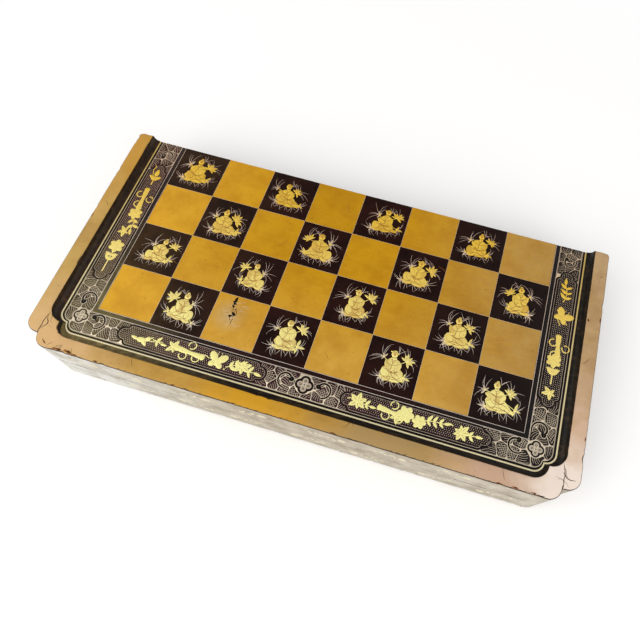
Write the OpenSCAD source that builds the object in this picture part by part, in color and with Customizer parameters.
// Folding chess and backgammon box, closed and lying flat.
// Each half is a shallow tray: the outside of its floor is half a chess board set below a
// raised rim, the inside is half a backgammon board. Two brass butt hinges join the halves
// along the back edge, which has no rim, so the board runs on across the fold.
// Frame: +Z up, X along the fold, the hinges at +Y, the origin under the middle of the box.

/* [Board] */
// Side of one chess square
square = 47; // [40:1:60]
// Border between the squares and the inner face of the rim
border = 34.5; // [28:0.5:45]
// Thickness of the board
board_thick = 6; // [4:0.5:8]

/* [Case] */
// Thickness of the front and side walls, which is the width of the rim
wall = 13.5; // [12:0.5:18]
// Thickness of the wall under the fold, which carries the hinges
hinge_wall_thick = 13.5; // [12.5:0.5:20]
// Height of one half of the box
half_height = 30; // [26:1:45]
// Depth of the board below the top of the rim
rim_rise = 6.5; // [6:0.5:9]
// Distance that the end of a side wall laps past the inner face of the front wall
corner_lap = 2.5; // [1:0.5:4]
// Radius of the rounded upright edges at the back ends of the side walls
back_round = 4; // [1:0.5:6]

/* [Corner posts and mouldings] */
// Radius of the two lobes at each front corner of the board
lobe_r = 12.5; // [9:0.5:16]
// Height of plain wall between the top of the moulding round the board and the top of the rim
cove_reveal = 1; // [0.5:0.1:2]
// Thickness of the two lips of that moulding
cove_lip = 0.5; // [0.3:0.1:0.7]
// Width of the moulding where it passes the point of a post
cove_point_w = 1.5; // [0.8:0.1:2.5]

/* [Hinges] */
// Length of each hinge
hinge_len = 50; // [40:1:80]
// Distance from the middle of the box to the middle of each hinge
hinge_offset = 145; // [90:1:160]
// Width of a leaf from the pin to its free edge
leaf_w = 11; // [9:0.5:12]
// Thickness of a leaf
leaf_thick = 1.3; // [1:0.1:2]
// Radius of the knuckles
knuckle_r = 2.6; // [2.4:0.1:3.5]
// Radius of the pin
pin_r = 1.25; // [1:0.05:1.5]
// Distance between the pin's axis and the back face
axis_out = 0.3; // [0.2:0.1:1]
// Distance between the screws of one leaf
screw_pitch = 17; // [12:0.5:18]
// Radius of a screw's head
screw_head_r = 2.3; // [1.8:0.1:2.6]
// Radius of a screw's shank
screw_shank_r = 1.1; // [0.8:0.1:1.3]
// Length of a screw
screw_len = 9; // [6:0.5:11]

/* [Hidden] */
$fn = 64;

files = 8;
ranks = 4;
knuckles = 5;
screws = 3;

// Gaps between a leaf and the parting plane, a knuckle and its groove, two knuckles, and a
// pin and its bore
leaf_gap = 0.1;
groove_gap = 0.3;
knuckle_gap = 0.25;
pin_gap = 0.05;

// Margin by which a cut passes its face
past = 1;

box_len = files * square + 2 * (border + wall);
half_depth = ranks * square + border + wall;

front_y = -(half_depth + axis_out + knuckle_r) / 2;
back_y = front_y + half_depth;
axis_y = back_y + axis_out;
inner_x = box_len / 2 - wall;
inner_y = front_y + wall;
notch_y = inner_y - corner_lap;
corner_r = wall - corner_lap;
floor_z = rim_rise + board_thick;
hinge_wall_y = back_y - hinge_wall_thick;
cove_w = rim_rise - cove_reveal;
cove_r = cove_w - cove_lip;
cove_tip = lobe_r + cove_point_w;
cove_lobe_r = cove_tip - cove_w;

leaf_z = half_height - leaf_gap;
knuckle_len = (hinge_len - (knuckles - 1) * knuckle_gap) / knuckles;
pin_head_r = knuckle_r - 0.6;
pin_head_h = 0.9;
screw_y = axis_y - (leaf_w + knuckle_r) / 2;
screw_slot_w = 0.6;
screw_slot_h = 0.5;
screw_tip_h = 2;
screw_tip_r = 0.3;

wood = "goldenrod";
paint = "saddlebrown";
black = "black";
brass = "darkkhaki";

// The upper half is the lower half turned over on the parting plane.
module upper() {
    translate([0, 0, 2 * half_height]) mirror([0, 0, 1]) children();
}

// The right side is the mirror image of the left.
module right() {
    mirror([1, 0, 0]) children();
}

// Outline of the left front post: a square block whose inner side has two hollow lobes
// that meet in a point. Its corner lies on the inner faces of the two walls.
module post_outline() {
    difference() {
        square(2 * lobe_r);
        translate([lobe_r, lobe_r]) square(2 * lobe_r);
        translate([lobe_r, 2 * lobe_r]) circle(lobe_r);
        translate([2 * lobe_r, lobe_r]) circle(lobe_r);
    }
}

module post() {
    color(wood)
        translate([-inner_x, inner_y, 0])
            linear_extrude(half_height) post_outline();
}

// The board lies between the side walls and runs over the hinge wall to the back face.
module board() {
    color(paint)
        translate([0, 0, rim_rise])
            linear_extrude(board_thick)
                difference() {
                    translate([-inner_x, inner_y]) square([2 * inner_x, back_y - inner_y]);
                    translate([-inner_x, inner_y]) post_outline();
                    mirror([1, 0]) translate([-inner_x, inner_y]) post_outline();
                }
}

module front_wall() {
    color(wood)
        linear_extrude(half_height)
            union() {
                translate([-inner_x, front_y + corner_r])
                    square([2 * inner_x, wall - corner_r]);
                translate([-inner_x + corner_r, front_y])
                    square([2 * (inner_x - corner_r), corner_r]);
                for (side = [-1, 1])
                    translate([side * (inner_x - corner_r), front_y + corner_r])
                        intersection() {
                            circle(corner_r);
                            translate([side < 0 ? -corner_r : 0, -corner_r]) square(corner_r);
                        }
            }
}

// The left wall, with a quarter round at its front end and a small one at the back.
module side_wall() {
    color(wood)
        translate([-box_len / 2, 0, 0])
            linear_extrude(half_height)
                difference() {
                    translate([0, notch_y]) square([wall, back_y - notch_y]);
                    edge_round(0, notch_y, corner_r, 1);
                    edge_round(0, back_y, back_round, -1);
                }
}

// What is cut away to round an outer corner at [x, y]; toward is 1 when the wall lies at
// greater y and -1 when it lies at smaller y.
module edge_round(x, y, r, toward) {
    translate([x, y])
        mirror([0, toward < 0 ? 1 : 0])
            difference() {
                translate([-past, -past]) square(r + past);
                translate([r, r]) circle(r);
            }
}

// Section of the moulding: x runs from its foot to the rim, y from the board to the rim's top.
module cove_section() {
    difference() {
        square(cove_w);
        translate([0, cove_w]) circle(cove_r);
    }
}

// A straight length of moulding along +Y, with its wall in the plane x = 0.
module cove_straight(length) {
    translate([cove_w, length, 0])
        rotate([90, 0, 0]) linear_extrude(length) mirror([1, 0]) cove_section();
}

// A quarter turn of moulding round a centre at the origin, from -X to -Y.
module cove_lobe() {
    rotate([0, 0, 180])
        rotate_extrude(angle = 90) translate([cove_lobe_r, 0]) cove_section();
}

// The lower half's board faces down, so its moulding hangs under it.
module below_board() {
    translate([0, 0, rim_rise]) mirror([0, 0, 1]) children();
}

// Moulding from the point of a post along the wall in the plane x = 0. The lobe of its foot
// is smaller than the post's, so it narrows towards the point, where it ends on the diagonal.
module moulding_run(length) {
    difference() {
        intersection() {
            union() {
                translate([0, cove_tip + cove_lobe_r, 0])
                    cove_straight(length - cove_tip - cove_lobe_r);
                translate([cove_tip, cove_tip + cove_lobe_r, 0]) cove_lobe();
            }
            linear_extrude(cove_w) polygon([[0, 0], [length, length], [0, length]]);
        }
        translate([0, 0, -past]) linear_extrude(cove_w + 2 * past) post_outline();
    }
}

// The moulding along the left wall and round the first lobe of the left front post.
module side_cove() {
    color(black)
        below_board()
            translate([-inner_x, inner_y, 0]) moulding_run(back_y - inner_y);
}

// The moulding along the front wall and round the second lobe of both front posts.
module front_cove() {
    color(black)
        below_board()
            union()
                for (side = [0, 1])
                    mirror([side, 0, 0])
                        translate([-inner_x, inner_y, 0]) mirror([1, -1, 0]) moulding_run(inner_x);
}

// Length of groove for the knuckles and the heads of the pin.
module knuckle_groove(x) {
    length = hinge_len + 2 * (pin_head_h + groove_gap);
    translate([x - length / 2, axis_y, half_height])
        rotate([0, 90, 0]) cylinder(h = length, r = knuckle_r + groove_gap);
}

// Recess for one leaf in the edge of the hinge wall.
module leaf_recess(x) {
    translate([x - hinge_len / 2, axis_y - leaf_w, leaf_z - leaf_thick])
        cube([hinge_len, leaf_w + past, leaf_thick + leaf_gap + past]);
}

function screw_x(i) = (i - (screws - 1) / 2) * screw_pitch;

// The wall under the fold, recessed for both hinges.
module hinge_wall() {
    color(wood)
        difference() {
            translate([-inner_x, hinge_wall_y, floor_z])
                cube([2 * inner_x, hinge_wall_thick, half_height - floor_z]);
            for (x = [-hinge_offset, hinge_offset]) {
                knuckle_groove(x);
                leaf_recess(x);
                for (i = [0:screws - 1])
                    translate([x + screw_x(i), screw_y, 0]) screw_body(0);
            }
        }
}

// A countersunk screw of the lower half, point down, with its head flush with the leaf.
module screw_body(slot_w) {
    head_h = screw_head_r - screw_shank_r;
    difference() {
        union() {
            translate([0, 0, leaf_z - head_h])
                cylinder(h = head_h, r1 = screw_shank_r, r2 = screw_head_r);
            translate([0, 0, leaf_z - screw_len + screw_tip_h])
                cylinder(h = screw_len - screw_tip_h - head_h, r = screw_shank_r);
            translate([0, 0, leaf_z - screw_len])
                cylinder(h = screw_tip_h, r1 = screw_tip_r, r2 = screw_shank_r);
        }
        if (slot_w > 0)
            translate([-screw_head_r - past, -slot_w / 2, leaf_z - screw_slot_h])
                cube([2 * (screw_head_r + past), slot_w, screw_slot_h + past]);
    }
}

// The row of screws that holds one leaf.
module leaf_screws(x) {
    color(brass)
        for (i = [0:screws - 1])
            translate([x + screw_x(i), screw_y, 0]) screw_body(screw_slot_w);
}

// Start of knuckle k, counted from 0 at the left end of the hinge.
function knuckle_x(k) = -hinge_len / 2 + k * (knuckle_len + knuckle_gap);

// A leaf of the lower half. Its knuckles are the even ones where first is 0, or else the
// odd ones, and it is cut back round the other leaf's.
module leaf(x, first) {
    color(brass)
        translate([x, axis_y, half_height])
            difference() {
                union() {
                    translate([-hinge_len / 2, -leaf_w, -leaf_gap - leaf_thick])
                        cube([hinge_len, leaf_w, leaf_thick]);
                    for (k = [first:2:knuckles - 1])
                        translate([knuckle_x(k), 0, 0])
                            rotate([0, 90, 0]) cylinder(h = knuckle_len, r = knuckle_r);
                }
                for (k = [1 - first:2:knuckles - 1])
                    translate([knuckle_x(k) - knuckle_gap, 0, 0])
                        rotate([0, 90, 0])
                            cylinder(h = knuckle_len + 2 * knuckle_gap, r = knuckle_r + groove_gap);
                translate([-hinge_len / 2 - past, 0, 0])
                    rotate([0, 90, 0]) cylinder(h = hinge_len + 2 * past, r = pin_r + pin_gap);
                for (i = [0:screws - 1])
                    translate([screw_x(i), screw_y - axis_y, -half_height]) screw_body(0);
            }
}

// The pin, with a flat round head at each end.
module pin(x) {
    color(brass)
        translate([x - hinge_len / 2, axis_y, half_height])
            rotate([0, 90, 0])
                union() {
                    cylinder(h = hinge_len, r = pin_r);
                    translate([0, 0, -pin_head_h]) cylinder(h = pin_head_h, r = pin_head_r);
                    translate([0, 0, hinge_len]) cylinder(h = pin_head_h, r = pin_head_r);
                }
}

board();  // lower_board
front_wall();  // lower_front_wall
side_wall();  // lower_left_wall
right() side_wall();  // lower_right_wall
hinge_wall();  // lower_hinge_wall
post();  // lower_left_post
right() post();  // lower_right_post
side_cove();  // lower_left_cove
front_cove();  // lower_front_cove
right() side_cove();  // lower_right_cove
upper() board();  // upper_board
upper() front_wall();  // upper_front_wall
upper() side_wall();  // upper_left_wall
upper() right() side_wall();  // upper_right_wall
upper() hinge_wall();  // upper_hinge_wall
upper() post();  // upper_left_post
upper() right() post();  // upper_right_post
upper() side_cove();  // upper_left_cove
upper() front_cove();  // upper_front_cove
upper() right() side_cove();  // upper_right_cove
leaf(-hinge_offset, 0);  // left_hinge_lower_leaf
upper() leaf(-hinge_offset, 1);  // left_hinge_upper_leaf
pin(-hinge_offset);  // left_hinge_pin
leaf(hinge_offset, 0);  // right_hinge_lower_leaf
upper() leaf(hinge_offset, 1);  // right_hinge_upper_leaf
pin(hinge_offset);  // right_hinge_pin
leaf_screws(-hinge_offset);  // left_hinge_lower_screws
upper() leaf_screws(-hinge_offset);  // left_hinge_upper_screws
leaf_screws(hinge_offset);  // right_hinge_lower_screws
upper() leaf_screws(hinge_offset);  // right_hinge_upper_screws
